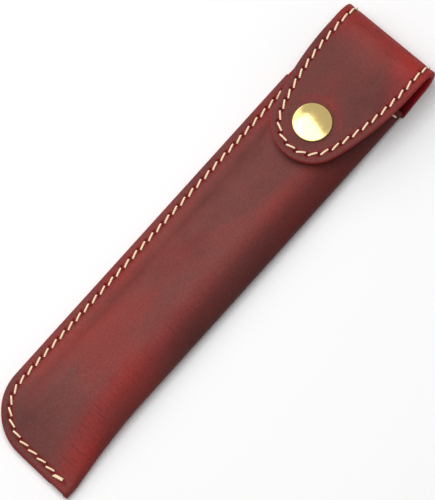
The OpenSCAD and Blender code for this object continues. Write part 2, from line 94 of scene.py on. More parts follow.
def foot_at(u):
    """Height of the foot's edge, drawn in by the rounding of the cut edge."""
    r = CORNER_R - EDGE_ROUND
    line = (FLAT_W - u) * math.tan(FOOT_SLOPE) + EDGE_ROUND / math.cos(FOOT_SLOPE)
    circle = CORNER_Y - np.sqrt(np.maximum(0, r ** 2 - (CORNER_R - u) ** 2))
    return np.where(u < CORNER_R - r * math.sin(FOOT_SLOPE), circle, line)


def corner_in(y):
    """How far the rounded corner draws the sewn edge in."""
    c = CORNER_R - np.sqrt(np.maximum(0, CORNER_R ** 2 - (CORNER_Y - y) ** 2))
    return np.where(y >= CORNER_Y, 0.0, c)


def rise_at(y):
    s = np.clip((y - SEAM_BAND) / PINCH_L, 0, 1)
    return (TUBE_H - 2 * LEATHER_T) * np.sin(np.pi / 2 * s)


def share_at(y):
    """How open the tube is, from 0 at the foot to 1."""
    return rise_at(y) / (TUBE_H - 2 * LEATHER_T)


def width_at(y):
    return FLAT_W - (FLAT_W - TUBE_W) * share_at(y)


def top_at(y):
    return 2 * LEATHER_T + rise_at(y)


def fold_z_at(y):
    return LEATHER_T + share_at(y) * (FOLD_Z - LEATHER_T)


def run_at(y, run):
    """How far a curve of this run reaches in from the fold, where the tube is only partly open."""
    return LEATHER_T + share_at(y) * (run - LEATHER_T)


def front_height(u, y):
    """Middle of the leather: it rises from the sewn band on a hollow curve and then a round one."""
    rise = rise_at(y)
    r = (RISE_RUN ** 2 + rise ** 2) / (4 * np.maximum(rise, 1e-3))
    d = np.clip(u - (SEAM_BAND + corner_in(y)), 0, RISE_RUN)
    low = 1.5 * LEATHER_T + r - np.sqrt(np.maximum(r ** 2 - d ** 2, 0))
    high = top_at(y) - LEATHER_T / 2 - r + np.sqrt(np.maximum(r ** 2 - (RISE_RUN - d) ** 2, 0))
    return np.where(d < RISE_RUN / 2, low, high)


def column(u_of, z_of, t):
    """Points of one column from foot to mouth. u may depend on y, so each is found from the other."""
    y = np.full_like(t, 60.0)
    for _ in range(8):
        u = u_of(y)
        y = foot_at(u) + t * (mouth_at(u) - EDGE_ROUND - foot_at(u))
    u = u_of(y)
    return np.stack([u, y, z_of(u, y)], 1)


def corner_columns(height, t):
    """Columns over the rounded corner, closer together towards the sewn edge."""
    a = np.linspace(0, math.pi / 2, steps(29))
    us = CORNER_R - (CORNER_R - EDGE_ROUND) * np.cos(a)
    return [column(lambda y, c=c: np.full_like(y, c), height, t) for c in us]


def level_column(k, run, height, t):
    """One column of the level part, k of the way to where the curve round the fold begins."""
    return column(lambda y: CORNER_R + k * (width_at(y) - run_at(y, run) - CORNER_R), height, t)


def fold_column(a, t):
    """One column round the fold: a long curve above the side and a short one under it."""
    def u_of(y):
        run = run_at(y, OVER_RUN if a >= 0 else UNDER_RUN)
        return width_at(y) - run + (run - LEATHER_T / 2) * math.cos(a)

    def z_of(u, y):
        side = fold_z_at(y)
        reach = top_at(y) - side if a >= 0 else side
        return side + (reach - LEATHER_T / 2) * math.sin(a)

    return column(u_of, z_of, t)


def grid_faces(rows, cols, start=0):
    i, j = np.meshgrid(np.arange(rows - 1), np.arange(cols - 1), indexing="ij")
    a = (start + i * cols + j).ravel()
    return np.stack([a, a + 1, a + cols + 1, a + cols], 1).tolist()


def front_grid():
    t = np.linspace(0, 1, steps(430))
    columns = corner_columns(front_height, t)
    columns += [level_column(k, OVER_RUN, front_height, t) for k in np.linspace(0, 1, steps(12))[1:]]
    columns += [fold_column(a, t) for a in np.radians(np.linspace(90, 0, steps(24)))[1:]]
    columns += [fold_column(a, t) for a in np.radians(np.linspace(0, -90, steps(10)))[1:]]
    return np.stack(columns, 1).reshape(-1, 3), grid_faces(len(t), len(columns))


def weld(verts, faces):
    """Joins points that lie on each other, and drops the faces that vanish."""
    key = np.round(np.asarray(verts) / WELD).astype(np.int64)
    _, first, same = np.unique(key, axis=0, return_index=True, return_inverse=True)
    same = same.ravel()
    kept = []
    for f in faces:
        g = [int(same[i]) for i in f]
        g = [a for k, a in enumerate(g) if a != g[k - 1]]
        if len(g) > 2:
            kept.append(g)
    return np.asarray(verts)[first], kept


def normals_of(verts, faces):
    n = np.zeros_like(verts)
    for size in (3, 4):
        f = np.array([g for g in faces if len(g) == size])
        if len(f) == 0:
            continue
        across = np.cross(verts[f[:, 2]] - verts[f[:, 0]], verts[f[:, -1]] - verts[f[:, 1]])
        for k in range(size):
            np.add.at(n, f[:, k], across)
    length = np.linalg.norm(n, axis=1)
    return n / np.maximum(length, TINY)[:, None]


def new_mesh(name, verts, faces, attrs):
    """A mesh object from points in millimetres, with numbers or vectors kept at its points."""
    me = bpy.data.meshes.new(name)
    co = (np.asarray(verts, float) + SHIFT) * MM
    me.from_pydata(co.tolist(), [], [tuple(f) for f in faces])
    for key, values in attrs.items():
        values = np.asarray(values, dtype=np.float32)
        kind, field = ("FLOAT_VECTOR", "vector") if values.ndim == 2 else ("FLOAT", "value")
        me.attributes.new(key, kind, "POINT").data.foreach_set(field, values.ravel())
    me.polygons.foreach_set("use_smooth", [True] * len(me.polygons))
    me.update()
    ob = bpy.data.objects.new(name, me)
    bpy.context.scene.collection.objects.link(ob)
    return ob


def near(points, spots, size):
    """1 at each spot, falling off over size."""
    best = np.full(len(points), 1e9)
    for s in spots:
        best = np.minimum(best, ((points - s) ** 2).sum(1))
    return np.exp(-best / size ** 2)


def along_row(points, line, size):
    """1 on a line through these spots, falling off over size."""
    best = np.full(len(points), 1e9)
    for p, q in zip(line[:-1], line[1:]):
        d = q - p
        k = np.clip(((points - p) @ d) / (d @ d), 0, 1)
        best = np.minimum(best, ((points - p - k[:, None] * d) ** 2).sum(1))
    return np.exp(-best / size ** 2)


def pressed(points, line, holes, press):
    """How far a row of stitches presses the leather in, along the row and at its holes."""
    row, row_reach, hole, hole_reach = press
    return row * along_row(points, line, row_reach) + hole * near(points, holes, hole_reach)


def cut_leather(name, verts, faces, joined, dents, holes):
    """Leather of its full thickness about a middle surface whose faces look outwards, with rounded
    edges. joined(points) is true where an edge carries on into another piece, and dents(points) is
    how far the outer face is pressed in."""
    verts, faces = weld(verts, faces)
    n = normals_of(verts, faces)
    sides = dict.fromkeys((f[k - 1], f[k]) for f in faces for k in range(len(f)))
    border = [(a, b) for a, b in sides if (b, a) not in sides]
    out_dir = np.zeros_like(verts)
    flat = joined(verts)
    for a, b in border:
        if flat[a] and flat[b]:
            continue
        o = np.cross(verts[b] - verts[a], n[a] + n[b])
        o /= max(np.linalg.norm(o), TINY)
        out_dir[a] += o
        out_dir[b] += o
    out_dir /= np.maximum(np.linalg.norm(out_dir, axis=1), TINY)[:, None]

    # The edge goes out and round in steps: how far out, and how far from the middle
    corner = [(EDGE_ROUND * math.sin(math.radians(a)), EDGE_ROUND * math.cos(math.radians(a)))
              for a in (30, 60, 90)]
    h = LEATHER_T / 2 - EDGE_ROUND
    rim = [(o, h + z) for o, z in corner] + [(EDGE_ROUND, 0.0)] + [(o, -h - z) for o, z in corner[::-1]]
    ids = np.array(sorted({i for e in border for i in e}))
    where = {i: k for k, i in enumerate(ids.tolist())}
    top = verts + n * (LEATHER_T / 2)
    pts = [top - n * dents(top)[:, None], verts - n * (LEATHER_T / 2)]
    pts = np.concatenate(pts + [verts[ids] + out_dir[ids] * o + n[ids] * z for o, z in rim])

    count = len(verts)
    all_faces = [list(f) for f in faces] + [[i + count for i in reversed(f)] for f in faces]
    rim_start = {i: 2 * count + where[i] for i in where}
    chain = {i: [i, *range(rim_start[i], len(pts), len(ids)), i + count] for i in where}
    for a, b in border:
        for k in range(len(rim) + 1):
            all_faces.append([chain[b][k], chain[a][k], chain[a][k + 1], chain[b][k + 1]])
    flesh, cut = np.zeros(len(pts)), np.zeros(len(pts))
    flesh[count:2 * count] = 1
    cut[2 * count:] = 1
    ob = new_mesh(name, pts, all_faces, {"flesh": flesh, "rim": cut, "rest": pts * MM,
                                         "hole": near(pts, holes, HOLE_MARK_R)})
    ends = {tuple(sorted(e)) for a, b in border if flat[a] and flat[b]
            for e in ((a, b), (a + count, b + count))}
    for e in ob.data.edges:
        if tuple(sorted(e.vertices)) in ends:
            e.use_edge_sharp = True
    return ob


def seam_row():
    """Holes down the sewn edge, round the corner and along the foot, and the way out at each."""
    top = mouth_at(SEAM_IN) - MOUTH_IN
    r = CORNER_R - SEAM_IN
    side = top - CORNER_Y
    turn = r * (math.pi / 2 - FOOT_SLOPE)
    foot = (FLAT_W - SEAM_TAIL - CORNER_R + r * math.sin(FOOT_SLOPE)) / math.cos(FOOT_SLOPE)
    total = side + turn + foot
    n = round(total / PITCH)
    pts, outs = [], []
    for i in range(n + 1):
        s = total * i / n
        if s < side:
            pts.append((SEAM_IN, top - s))
            outs.append((-1.0, 0.0))
            continue
        a = math.pi + min(math.pi / 2 - FOOT_SLOPE, (s - side) / r)
        o = (math.cos(a), math.sin(a))
        d = max(0.0, s - side - turn)
        pts.append((CORNER_R + r * o[0] + d * math.cos(FOOT_SLOPE),
                    CORNER_Y + r * o[1] - d * math.sin(FOOT_SLOPE)))
        outs.append(o)
    return np.array(pts), np.array(outs)


def open_front_line():
    """The middle of the leather across the open tube, from the sewn band over to the fold."""
    y = np.array(OPEN_Y)
    pts = [(u, float(front_height(np.array(u), y))) for u in np.linspace(SEAM_BAND, TUBE_W - OVER_RUN, 60)]
    run, side = run_at(y, OVER_RUN), fold_z_at(y)
    for a in np.radians(np.linspace(90, 0, 40))[1:]:
        pts.append((float(width_at(y) - run + (run - LEATHER_T / 2) * math.cos(a)),
                    float(side + (top_at(y) - side - LEATHER_T / 2) * math.sin(a))))
    return np.array(pts)


line_pts = open_front_line()
line_d = np.concatenate([[0], np.cumsum(np.linalg.norm(np.diff(line_pts, axis=0), axis=1))])


def on_mouth(d, off):
    """A place on the mouth's row, d along the leather and off from its middle, and the way out."""
    p = np.array([np.interp(d, line_d, line_pts[:, k]) for k in (0, 1)])
    q = np.array([np.interp(d + 0.2, line_d, line_pts[:, k]) for k in (0, 1)])
    e = (q - p) / np.linalg.norm(q - p)
    y = mouth_at(p[0]) - MOUTH_IN / math.cos(MOUTH_LEAN)
    n = np.array([-e[1], 0, e[0]])
    return np.array([p[0], y, p[1]]) + off * n, n


seam_pts, seam_outs = seam_row()
seam_front = np.column_stack([seam_pts, np.full(len(seam_pts), 2 * LEATHER_T)])
mouth_count = round((MOUTH_ROW_L - MOUTH_FIRST) / (PITCH * math.cos(MOUTH_LEAN)))
mouth_ds = np.linspace(MOUTH_FIRST, MOUTH_ROW_L, mouth_count + 1)
mouth_holes = np.array([on_mouth(d, LEATHER_T / 2)[0] for d in mouth_ds])
front = cut_leather("front_leather", *front_grid(),
                    lambda v: (v[:, 2] < LEATHER_T / 2 + WELD) & (v[:, 0] > FOLD_SIDE_U),
                    lambda p: (pressed(p, seam_front, seam_front, SEAM_PRESS)
                               + pressed(p, mouth_holes, mouth_holes, MOUTH_PRESS)),
                    np.concatenate([seam_front, mouth_holes]))


def srgb(r, g, b):
    """A colour as a picture gives it, from 0 to 255, turned into the renderer's own."""
    def lin(c):
        c = c / 255
        return c / 12.92 if c <= 0.04045 else ((c + 0.055) / 1.055) ** 2.4

    return (lin(r), lin(g), lin(b), 1.0)


# The oiled face is brown, redder where it is bent, and darkest in its pores. The holes are dark red with
# painted shade deep in them, and the fine creases are painted shade
BROWN, LIGHT_BROWN, DARK_BROWN = srgb(102, 52, 48), srgb(115, 60, 55), srgb(90, 45, 43)
BENT_RED, DRAWN_IN_RED = srgb(164, 48, 43), srgb(135, 28, 26)
PORE, CREASE_PAINTED_SHADE = srgb(73, 26, 24), srgb(80, 22, 22)
HOLE_EDGE, HOLE_PAINTED_SHADE = srgb(109, 10, 15), srgb(35, 3, 6)
CUT_DARK, CUT_LIGHT = srgb(122, 33, 33), srgb(164, 62, 59)
# The fuzzy inner side keeps the red dye, and deep in the mouth it takes painted shade
FUZZ_DARK, FUZZ_LIGHT, FUZZ_PAINTED_SHADE = srgb(158, 10, 26), srgb(214, 24, 44), srgb(53, 10, 13)
# Painted shade: this tint darkens the tube's folded side where it turns from the light, and also darkens
# the foot and the flap
PAINTED_SHADE_AND_DARK_TINT = (0.34, 0.23, 0.23, 1)


class Tree:
    """Short calls for making and joining nodes."""

    def __init__(self, tree):
        self.nodes, self.links = tree.nodes, tree.links

    def node(self, kind, **values):
        n = self.nodes.new(kind)
        for k, v in values.items():
            setattr(n, k, v)
        return n

    def put(self, sock, v):
        if isinstance(v, bpy.types.NodeSocket):
            self.links.new(v, sock)
        else:
            sock.default_value = v

    def maths(self, op, a, b=0.0, clamp=False):
        n = self.node("ShaderNodeMath", operation=op, use_clamp=clamp)
        self.put(n.inputs[0], a)
        self.put(n.inputs[1], b)
        return n.outputs[0]

    def mix(self, fac, a, b, kind="MIX"):
        n = self.node("ShaderNodeMix", data_type="RGBA", blend_type=kind)
        self.put(n.inputs[0], fac)
        self.put(n.inputs[6], a)
        self.put(n.inputs[7], b)
        return n.outputs[2]

    def noise(self, vec, scale, detail=3.0, rough=0.5, distort=0.0):
        n = self.node("ShaderNodeTexNoise")
        for key, v in (("Vector", vec), ("Scale", scale), ("Detail", detail), ("Roughness", rough),
                       ("Distortion", distort)):
            self.put(n.inputs[key], v)
        return n.outputs[0]

    def cells(self, vec, scale):
        n = self.node("ShaderNodeTexVoronoi", feature="F1")
        self.put(n.inputs["Vector"], vec)
        self.put(n.inputs["Scale"], scale)
        return n.outputs[0]

    def ramp(self, v, low, high, a=0.0, b=1.0):
        n = self.node("ShaderNodeMapRange", interpolation_type="SMOOTHSTEP")
        for k, value in enumerate((v, low, high, a, b)):
            self.put(n.inputs[k], value)
        return n.outputs[0]

    def stretch(self, vec, scale):
        n = self.node("ShaderNodeMapping")
        self.put(n.inputs["Vector"], vec)
        self.put(n.inputs["Scale"], scale)
        return n.outputs[0]

    def attr(self, name, out=2):
        return self.node("ShaderNodeAttribute", attribute_name=name).outputs[out]

    def bump(self, height, strength):
        n = self.node("ShaderNodeBump")
        self.put(n.inputs["Height"], height)
        self.put(n.inputs["Strength"], strength)
        self.put(n.inputs["Distance"], 1.0)
        return n.outputs[0]


FLOAT, VECTOR = "NodeSocketFloat", "NodeSocketVector"


def shader_group(name, ins, outs):
    group = bpy.data.node_groups.new(name, "ShaderNodeTree")
    for label, kind in ins:
        group.interface.new_socket(label, in_out="INPUT", socket_type=kind)
    for label in outs:
        group.interface.new_socket(label, in_out="OUTPUT", socket_type=FLOAT)
    t = Tree(group)
    return group, t, t.node("NodeGroupInput").outputs, t.node("NodeGroupOutput").inputs


def grain_group():
    """Fine pores and a soft unevenness, as a height in metres."""
    group, t, given, made = shader_group("leather_grain", [("Place", VECTOR)], ["Height", "Pores"])
    cells = t.cells(given["Place"], 2600.0)
    pores = t.noise(given["Place"], 1500.0, 3.0, 0.6)
    lumps = t.noise(given["Place"], 260.0, 3.0, 0.55)
    height = t.maths("ADD", t.maths("MULTIPLY", cells, 0.000025), t.maths("MULTIPLY", pores, 0.00004))
    t.put(made["Height"], t.maths("ADD", height, t.maths("MULTIPLY", lumps, 0.00010)))
    t.put(made["Pores"], pores)
    return group


def pull_group():
    """Oil moves away where the leather is bent, and lets the red show through the brown."""
    group, t, given, made = shader_group("leather_pull", [("Place", VECTOR), ("Bent", FLOAT)],
                                         ["Red", "Shade", "Crease_shade"])
    place, bent = given["Place"], given["Bent"]
    big = t.noise(t.stretch(place, (1.0, 0.55, 1.0)), 34.0, 3.0, 0.55, 0.4)
    small = t.noise(place, 190.0, 4.0, 0.6)
    uneven = t.maths("MULTIPLY", t.maths("SUBTRACT", small, 0.5), 0.55)
    red = t.maths("ADD", t.ramp(big, 0.40, 0.68), uneven)
    t.put(made["Red"], t.maths("ADD", t.maths("MULTIPLY", red, 0.38), bent, clamp=True))
    t.put(made["Shade"], t.noise(t.stretch(place, (1.0, 0.6, 1.0)), 55.0, 4.0, 0.6))
    # Fine creases where the leather is bent, which are darkened as painted shade
    fine = t.noise(t.stretch(place, (0.14, 1.0, 1.0)), 1100.0, 2.0, 0.5, 0.6)
    t.put(made["Crease_shade"], t.maths("MULTIPLY", t.ramp(fine, 0.55, 0.70), t.ramp(bent, 0.10, 0.55)))
    return group


def oiled_leather():
    m = bpy.data.materials.new("oiled_leather")
    m.use_nodes = True
    t = Tree(m.node_tree)
    look = t.nodes["Principled BSDF"].inputs
    place = t.attr("rest", 1)
    flesh, rim, hole = t.attr("flesh"), t.attr("rim"), t.attr("hole")
    grain = t.node("ShaderNodeGroup", node_tree=grain_group())
    t.put(grain.inputs["Place"], place)
    pores = grain.outputs["Pores"]
    pull = t.node("ShaderNodeGroup", node_tree=pull_group())
    t.put(pull.inputs["Place"], place)
    t.put(pull.inputs["Bent"], t.attr("bent"))
    shade = pull.outputs["Shade"]

    brown = t.mix(t.ramp(shade, 0.35, 0.65), BROWN, LIGHT_BROWN)
    brown = t.mix(t.ramp(shade, 0.30, 0.48), DARK_BROWN, brown)
    face = t.mix(pull.outputs["Red"], brown, BENT_RED)
    face = t.mix(t.ramp(pores, 0.35, 0.70, 0.0, 0.16), face, PORE)
    # Painted shade in the fine creases
    face = t.mix(t.maths("MULTIPLY", pull.outputs["Crease_shade"], 0.35), face, CREASE_PAINTED_SHADE)
    face = t.mix(t.ramp(t.attr("stitched"), 0.15, 0.9, 0.0, 0.55), face, DRAWN_IN_RED)
    # Each hole shows its red inside, deepening to painted shade in its middle
    face = t.mix(t.ramp(hole, 0.10, 0.45), face, HOLE_EDGE)
    face = t.mix(t.ramp(hole, 0.35, 0.70), face, HOLE_PAINTED_SHADE)
    face = t.mix(t.ramp(rim, 0.15, 0.85), face, t.mix(t.noise(place, 900.0), CUT_DARK, CUT_LIGHT))
    fuzz = t.mix(t.noise(place, 700.0, 4.0, 0.7), FUZZ_DARK, FUZZ_LIGHT)
    # Painted shade: ambient occlusion darkens the fuzzy side where it is enclosed, deep in the mouth
    painted_shade_ao = t.node("ShaderNodeAmbientOcclusion", samples=16)
    t.put(painted_shade_ao.inputs["Distance"], 0.02)
    fuzz = t.mix(t.ramp(painted_shade_ao.outputs["AO"], 0.15, 0.72), FUZZ_PAINTED_SHADE, fuzz)
    face = t.mix(t.ramp(flesh, 0.3, 0.7), face, fuzz)
    # Painted shade on the folded side, and the darker foot and flap, multiplied in as one tint
    t.put(look["Base Color"], t.mix(t.attr("painted_shade_and_dark"), face, t.mix(1.0, face, PAINTED_SHADE_AND_DARK_TINT, "MULTIPLY")))
    rough = t.ramp(pores, 0.3, 0.7, 0.55, 0.68)
    t.put(look["Roughness"], t.ramp(t.maths("MAXIMUM", flesh, rim), 0.0, 1.0, rough, 0.9))
    t.put(look["Specular IOR Level"], 0.20)
    t.put(look["Normal"], t.bump(grain.outputs["Height"], 0.55))
    return m


leather_mat = oiled_leather()


def fade(x, start, end):
    """0 up to start and 1 from end on."""
    return np.clip((x - start) / (end - start), 0, 1)


def spread(x, middle, width):
    """1 at the middle, falling off over a width."""
    return np.exp(-((x - middle) / width) ** 2)


def points_of(ob):
    p = np.zeros(len(ob.data.vertices) * 3)
    ob.data.vertices.foreach_get("co", p)
    return p.reshape(-1, 3) * 1000 - SHIFT


def dress(ob, bent, painted_shade_and_dark, stitched):
    """Gives leather its finish, and the marks that the finish reads."""
    ob.data.materials.append(leather_mat)
    for key, values in (("painted_shade_and_dark", np.clip(painted_shade_and_dark, 0, 1)), ("bent", bent), ("stitched", stitched)):
        ob.data.attributes.new(key, "FLOAT", "POINT").data.foreach_set("value", values.astype(np.float32))


def dress_tube(ob, rows):
    """The tube's folded side is painted darker, painted shade where it turns from the light, and its foot
    is darker. It is red beside the folded side, at the foot's corner and in the crease along the sewn band."""
    p = points_of(ob)
    u, y = p.T[:2]
    w = width_at(y)
    # Painted shade down the folded side, stronger towards the mouth, and plainly darker at the foot
    k = fade(u, w - 13.0, w - 4.5)
    painted_shade_and_dark = k * k * (3 - 2 * k) * np.clip(0.62 + (y - 30) / 160, 0.3, 1) * 0.9
    painted_shade_and_dark += 0.32 * fade(y, 28, 6) * fade(u, 31, 25)
    painted_shade_and_dark *= fade(y, BEND_Y, BEND_Y - 8)
    bent = 0.55 * spread(u, w - 7.5, 4.2) * fade(y, 5, 25) * (0.45 + 0.75 * fade(y, 95, 25))
    bent += 0.80 * spread(u, 33.5, 4.5) * spread(y, 12, 13)
    bent += 0.30 * spread(u, 4.9, 0.5) * (y > 18)
    dress(ob, bent, painted_shade_and_dark, np.max([along_row(p, r, STITCHED_R) for r in rows], 0))


dress_tube(front, [seam_front, mouth_holes])
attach(front, "sleeve")
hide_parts("sleeve_leather")

# The back of the tube is the same sheet beyond the fold, and lies flat. Above the mouth it carries on
# as the neck, a little wider than the tube on the folded side, and narrows to the flap where it
# bends. The stitch rows press into its outer side.
FLAP_W, FLAP_MID, FLAP_IN = 34.6, 18.3, 2.6
NECK_LIP = 0.4
ROW_X = FLAP_W / 2 - FLAP_IN
BEND_Z = LEATHER_T / 2 + BEND_R
BEND_L = math.pi * BEND_R
BEND_PITCH = BEND_L / round(BEND_L / PITCH)
# The flap's row begins this far on from the end of the bend
ROW_START = BEND_PITCH / 3
BACK_PRESS = (0.55, 0.80, 0.30, 0.42)


def on_side_row(side, back, off):
    """A place on one side's row, back from the flap over the bend and down the neck, and off from
    the leather's middle."""
    x = FLAP_MID + side * ROW_X
    if back < 0:
        return np.array([x, BEND_Y + back, BEND_Z + BEND_R + off])
    if back <= BEND_L:
        a = math.pi - back / BEND_R
        r = BEND_R + off
        return np.array([x, BEND_Y + r * math.sin(a), BEND_Z - r * math.cos(a)])
    return np.array([x, BEND_Y - back + BEND_L, LEATHER_T / 2 - off])


def neck_backs(side):
    end = BEND_L + BEND_Y - mouth_at(FLAP_MID + side * ROW_X) - MOUTH_IN
    return np.arange(BEND_L + BEND_PITCH - ROW_START, end, BEND_PITCH)


def flat_height(u, y):
    return np.full_like(u, LEATHER_T / 2)


def back_grid():
    t = np.linspace(0, 1, steps(300))
    columns = corner_columns(flat_height, t)
    columns += [level_column(k, UNDER_RUN, flat_height, t) for k in np.linspace(0, 1, steps(26))[1:]]
    g = np.stack(columns, 1)
    tube = g.reshape(-1, 3)
    faces = grid_faces(len(t), len(columns))
    mouth = g[-1]
    lip_u = np.linspace(mouth[-1, 0], TUBE_W + NECK_LIP - EDGE_ROUND, steps(9))[1:]
    u0 = np.concatenate([mouth[:, 0], lip_u])
    y0 = np.concatenate([mouth[:, 1], mouth_at(lip_u) - EDGE_ROUND])
    v = np.linspace(0, 1, steps(60))[:, None]
    left_end, right_end = FLAP_MID - FLAP_W / 2 + EDGE_ROUND, FLAP_MID + FLAP_W / 2 - EDGE_ROUND
    across = (u0 - u0[0]) / (u0[-1] - u0[0])
    u = (1 - v) * u0 + v * (left_end + across * (right_end - left_end))
    neck = np.stack([u, y0 + v * (BEND_Y - y0), flat_height(u, y0)], 2)
    faces += grid_faces(len(v), len(u0), len(tube))
    return np.concatenate([tube, neck.reshape(-1, 3)]), [f[::-1] for f in faces]


seam_back = np.column_stack([seam_pts, np.zeros(len(seam_pts))])
neck_holes = np.array([on_side_row(s, b, LEATHER_T / 2) for s in (-1, 1) for b in neck_backs(s)])
back_holes = np.concatenate([seam_back, neck_holes])


def back_dents(p):
    d = pressed(p, seam_back, back_holes, BACK_PRESS)
    for s in (-1, 1):
        backs = [*neck_backs(s), BEND_L + 1e-6]
        d += BACK_PRESS[0] * along_row(p, np.array([on_side_row(s, b, LEATHER_T / 2) for b in backs]),
                                       BACK_PRESS[1])
    return d


def back_joined(v):
    u, y = v.T[:2]
    under_fold = (u > FOLD_SIDE_U) & (u < TUBE_W + 1) & (y < mouth_at(u) - EDGE_ROUND - WELD)
    return under_fold | (y > BEND_Y - WELD)


back = cut_leather("back_leather", *back_grid(), back_joined, back_dents, back_holes)
dress_tube(back, [back_holes])
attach(back, "sleeve")
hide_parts("sleeve_leather")

# The bend takes the same leather up from the neck and over the mouth in a half round. Opening the
# flap straightens it; here it is three strips, each a third of the half round.
FLAP_PRESS = (0.28, 0.75, 0.50, 0.42)
bend_backs = np.arange(1, 6) * BEND_PITCH - ROW_START


def bend_strip(name, low, high):
    half = FLAP_W / 2 - EDGE_ROUND
    a = np.radians(np.linspace(low, high, steps(36)))[:, None]
    x = FLAP_MID + np.linspace(-half, half, steps(64))[None, :]
    pts = np.stack([x + 0 * a, BEND_Y + BEND_R * np.sin(a) + 0 * x, BEND_Z - BEND_R * np.cos(a) + 0 * x], 2)
    faces = [f[::-1] for f in grid_faces(len(a), x.shape[1])]
    holes = np.array([on_side_row(s, b, LEATHER_T / 2) for s in (-1, 1) for b in bend_backs])

    def joined(v):
        turned = np.degrees(np.arctan2(v[:, 1] - BEND_Y, BEND_Z - v[:, 2]))
        return (turned < low + 0.01) | (turned > high - 0.01)

    def dents(p):
        row, row_reach, hole, hole_reach = FLAP_PRESS
        d = hole * near(p, holes, hole_reach)
        for s in (-1, 1):
            d += row * spread(p[:, 0], FLAP_MID + s * ROW_X, row_reach)
        return d

    return cut_leather(name, pts.reshape(-1, 3), faces, joined, dents, holes)


def flap_marks(y, z):
    """The bend is reddest a little before the flap begins, and the flap is darker."""
    back = np.where(y > BEND_Y, np.pi - np.arctan2(y - BEND_Y, BEND_Z - z), 0) * BEND_R
    along = np.where(y > BEND_Y, -back, BEND_Y - y)
    return 0.68 * spread(along, -7.0, 8.5), 0.26 * fade(along, 2, 10)


def bend_between(ob):
    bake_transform(ob)


bend_low = bend_strip("bend_low_leather", 0, 60)
bend_mid = bend_strip("bend_mid_leather", 60, 120)
bend_high = bend_strip("bend_high_leather", 120, 180)
for ob in (bend_low, bend_mid, bend_high):
    u, y, z = points_of(ob).T
    dress(ob, *flap_marks(y, z), spread(np.abs(u - FLAP_MID), ROW_X, STITCHED_R))
bend_between(bend_low)
bend_between(bend_mid)
bend_between(bend_high)
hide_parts("fold_lower")
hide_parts("fold_lower", "fold_upper")
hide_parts("fold_upper")

# The flap is the end of the same sheet: straight where it leaves the bend, then drawn in on a long
# curve down each side to a round tip. The snap's cap and socket are set through it near the tip,
# and the leather is redder in an arc above the cap, where setting it pressed the leather.
FLAP_L, FLAP_SIDE_R, FLAP_TIP_R = 44.7, 100.0, 13.0
SNAP_UP = 12.9
CAP_ARC_R = 8.6
# The mesh follows the outline inwards, finer over this width, so that the row of holes lies along it
FINE_EDGE_W, FLAP_REACH = 4.2, 12.62
FLAP_UNDER = BEND_Z + BEND_R - LEATHER_T / 2
FLAP_TOP = FLAP_UNDER + LEATHER_T
TIP_Y = BEND_Y - FLAP_L
TIP_MID_Y = TIP_Y + FLAP_TIP_R
SNAP_Y = TIP_Y + SNAP_UP
FLAP_TURN = math.acos((FLAP_SIDE_R - FLAP_W / 2) / (FLAP_SIDE_R - FLAP_TIP_R))
FLAP_CURVE_Y = TIP_MID_Y + (FLAP_SIDE_R - FLAP_TIP_R) * math.sin(FLAP_TURN)
STRAIGHT_L = BEND_Y - FLAP_CURVE_Y
CURVE_L = (FLAP_SIDE_R - FLAP_IN) * FLAP_TURN
HALF_ROW_L = STRAIGHT_L + CURVE_L + (FLAP_TIP_R - FLAP_IN) * (math.pi / 2 - FLAP_TURN)


def flap_out(s):
    """The way out of the flap, s along its row of holes."""
    if s > HALF_ROW_L:
        return flap_out(2 * HALF_ROW_L - s) * np.array([-1, 1])
    if s < STRAIGHT_L:
        return np.array([-1.0, 0.0])
    t = s - STRAIGHT_L
    if t < CURVE_L:
        a = t / (FLAP_SIDE_R - FLAP_IN)
    else:
        a = FLAP_TURN + (t - CURVE_L) / (FLAP_TIP_R - FLAP_IN)
    return np.array([-math.cos(a), -math.sin(a)])


def flap_point(s):
    """The place s along the flap's row of holes."""
    if s > HALF_ROW_L:
        p = flap_point(2 * HALF_ROW_L - s)
        return np.array([2 * FLAP_MID - p[0], p[1]])
    if s < STRAIGHT_L:
        return np.array([FLAP_MID - ROW_X, BEND_Y - s])
    if s < STRAIGHT_L + CURVE_L:
        middle = np.array([FLAP_MID + FLAP_SIDE_R - FLAP_W / 2, FLAP_CURVE_Y])
        return middle + (FLAP_SIDE_R - FLAP_IN) * flap_out(s)
    return np.array([FLAP_MID, TIP_MID_Y]) + (FLAP_TIP_R - FLAP_IN) * flap_out(s)


